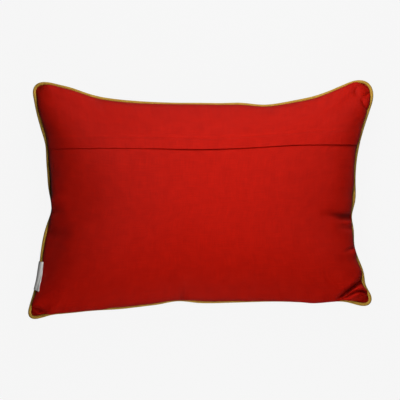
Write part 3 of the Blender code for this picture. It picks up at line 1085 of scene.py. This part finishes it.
def weave_group():
    """Plain weave: threads over and under each other, with thick places in some of them."""
    group = bpy.data.node_groups.new("plain_weave", "ShaderNodeTree")
    new_socket = group.interface.new_socket
    new_socket(name="Vector", in_out="INPUT", socket_type="NodeSocketVector")
    new_socket(name="Pitch", in_out="INPUT", socket_type="NodeSocketFloat")
    for name in ("Height", "Slubs", "Mottle"):
        new_socket(name=name, in_out="OUTPUT", socket_type="NodeSocketFloat")
    start, end = group.nodes.new("NodeGroupInput"), group.nodes.new("NodeGroupOutput")
    spot, pitch = start.outputs["Vector"], start.outputs["Pitch"]
    split = add_node(group, "SeparateXYZ", {0: spot})
    u, v = [add_math(group, "DIVIDE", split.outputs[axis], pitch) for axis in "XY"]
    warp, weft = thread_tops(group, u), thread_tops(group, v)
    cells = add_math(group, "ADD", add_math(group, "FLOOR", u), add_math(group, "FLOOR", v))
    over = add_math(group, "FLOORED_MODULO", cells, 2.0)
    chosen = add_node(group, "Mix", {"Factor": over, "A": warp, "B": weft})
    along, across = [stretched_noise(group, spot, scale) for scale in SLUB_SCALES]
    slubs = add_math(group, "MULTIPLY", add_math(group, "ADD", along, across), 0.5)
    mottle = stretched_noise(group, spot, MOTTLE_SCALE, detail=MOTTLE_DETAIL)
    thick = add_math(group, "MULTIPLY", slubs, SLUB_RELIEF)
    height = add_math(group, "ADD", chosen.outputs["Result"], thick)
    set_inputs(group, end, {"Height": height, "Slubs": slubs, "Mottle": mottle})
    return group


def fabric(name, weave, colours, pitch, relief, roughness, sheen, tint, mapped=True):
    """A woven material: colours are its dark and its light shade. Threads run along the UV map
    weave, or along the axes where a piece isn't mapped."""
    material = bpy.data.materials.new(name)
    material.use_nodes = True
    tree = material.node_tree
    surface = tree.nodes["Principled BSDF"]
    if mapped:
        place = add_node(tree, "UVMap", {})
        place.uv_map = "weave"
        spot = place.outputs["UV"]
    else:
        spot = add_node(tree, "TexCoord", {}).outputs["Object"]
    woven = tree.nodes.new("ShaderNodeGroup")
    woven.node_tree = weave
    set_inputs(tree, woven, {"Pitch": pitch, "Vector": spot})
    shade = add_math(tree, "MULTIPLY_ADD", woven.outputs["Mottle"], MOTTLE_CONTRAST, SHADE_START)
    shade = add_math(tree, "MULTIPLY_ADD", woven.outputs["Slubs"], SLUB_CONTRAST, shade)
    # Painted highlight: a lighter line along the hem's fold
    shade = add_math(tree, "MULTIPLY_ADD", point_value(tree, "pressed"), HEM_PAINTED_HIGHLIGHT, shade)
    ramp = tree.nodes.new("ShaderNodeValToRGB")
    for element, position, colour in zip(ramp.color_ramp.elements, SHADE_RANGE, colours):
        element.position = position
        element.color = colour
    tree.links.new(shade, ramp.inputs["Fac"])
    # Painted shade: the colour is mixed towards a dark red in the seam's ditch and in deep folds
    darkened = tree.nodes.new("ShaderNodeMix")
    darkened.data_type = "RGBA"
    painted_shade = add_math(tree, "MULTIPLY", point_value(tree, "painted_shade"), PAINTED_SHADE_STRENGTH)
    painted_shade_colour = [value * PAINTED_SHADE_COLOUR_SHARE for value in colours[0][:3]] + [1]
    set_inputs(tree, darkened, {"Factor": painted_shade, "A": ramp.outputs["Color"], "B": painted_shade_colour})
    height = woven.outputs["Height"]
    bump = add_node(tree, "Bump", {"Strength": 1.0, "Distance": relief, "Height": height})
    set_inputs(tree, surface, {
        "Base Color": darkened.outputs["Result"], "Normal": bump.outputs["Normal"],
        "Roughness": roughness, "Specular IOR Level": CLOTH_SPECULAR, "Sheen Weight": sheen,
        "Sheen Roughness": CLOTH_SHEEN_ROUGHNESS, "Sheen Tint": tint,
    })
    return material


def camera():
    data = bpy.data.cameras.new("camera")
    data.lens = LENS
    data.sensor_width = SENSOR
    data.clip_end = 100
    made = link_object("camera", data)
    made.location = (*CAMERA_PLACE, SEAM_HEIGHT + VIEW_WIDTH * LENS / SENSOR)
    bpy.context.scene.camera = made


def softbox(name, place, aim, size, power, mirrored=True):
    """A rectangular area light that isn't itself seen, and throws highlights where mirrored."""
    data = bpy.data.lights.new(name, "AREA")
    data.shape = "RECTANGLE"
    data.size, data.size_y = size
    data.energy = power
    made = link_object(name, data)
    made.location = place
    made.rotation_euler = (Vector(aim) - Vector(place)).to_track_quat("-Z", "Y").to_euler()
    made.visible_camera = False
    made.visible_glossy = mirrored


def show_to_camera(tree, thrown, seen, share, output):
    """Puts out the shader seen by that share where the camera looks, and thrown elsewhere."""
    path = add_node(tree, "LightPath", {})
    looking = add_math(tree, "MULTIPLY", path.outputs["Is Camera Ray"], share)
    shaders = {"Fac": looking, 1: thrown.outputs[0], 2: seen.outputs[0]}
    mixed = add_node(tree, "MixShader", shaders)
    set_inputs(tree, output, {"Surface": mixed.outputs[0]})


def studio():
    """A pale floor, and softboxes near the cushion along its middle, so that its ends fall off."""
    for row in SOFTBOXES:
        softbox(**row)
    world = bpy.data.worlds.new("studio")
    world.use_nodes = True
    bpy.context.scene.world = world
    tree = world.node_tree
    background = tree.nodes["Background"]
    set_inputs(tree, background, {"Color": (1, 1, 1, 1), "Strength": WORLD_STRENGTH})
    seen = add_node(tree, "Background", {"Color": WORLD_SEEN})
    show_to_camera(tree, background, seen, 1.0, tree.nodes["World Output"])
    mesh = bmesh.new()
    bmesh.ops.create_grid(mesh, x_segments=1, y_segments=1, size=FLOOR_HALF)
    floor = made_object("floor", mesh)
    floor.data.materials.append(floor_material())


def floor_material():
    """Pale paper: near white where it is seen, and darker for the light that it throws back."""
    material = bpy.data.materials.new("pale_paper")
    material.use_nodes = True
    tree = material.node_tree
    paper = tree.nodes["Principled BSDF"]
    set_inputs(tree, paper, {"Base Color": FLOOR_THROWN, "Roughness": FLOOR_ROUGHNESS})
    glow = add_node(tree, "Emission", {"Color": FLOOR_SEEN})
    show_to_camera(tree, paper, glow, FLOOR_SEEN_SHARE, tree.nodes["Material Output"])
    return material


def build():
    bpy.context.scene.view_settings.view_transform = "Standard"
    weave = weave_group()
    red, gold, tape, thread = [fabric(name, weave, **looks) for name, looks in FABRICS.items()]
    camera()
    cover = cushion_cover(red)
    panel = upper_back_panel(cover, red)
    stitches = hem_stitching(panel, thread)
    cord = piping(gold)
    label = side_label(cover, tape)
    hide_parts("filled_cushion")
    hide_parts("upper_back_panel")
    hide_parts("piping")
    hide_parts("side_label")
    slots = {
        "red_cotton": (cover, panel, stitches),
        "olive_gold_piping": (cord,),
        "white_tape": (label,),
    }
    for slot, pieces in slots.items():
        for piece in pieces:
            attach(piece, "root")
    studio()


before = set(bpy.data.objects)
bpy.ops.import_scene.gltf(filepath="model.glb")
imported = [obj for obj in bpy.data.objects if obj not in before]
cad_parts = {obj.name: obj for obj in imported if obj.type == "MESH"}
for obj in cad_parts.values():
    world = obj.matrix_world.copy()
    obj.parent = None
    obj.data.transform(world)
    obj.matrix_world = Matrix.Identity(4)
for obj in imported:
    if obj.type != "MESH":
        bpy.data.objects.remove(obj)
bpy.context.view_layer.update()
build()
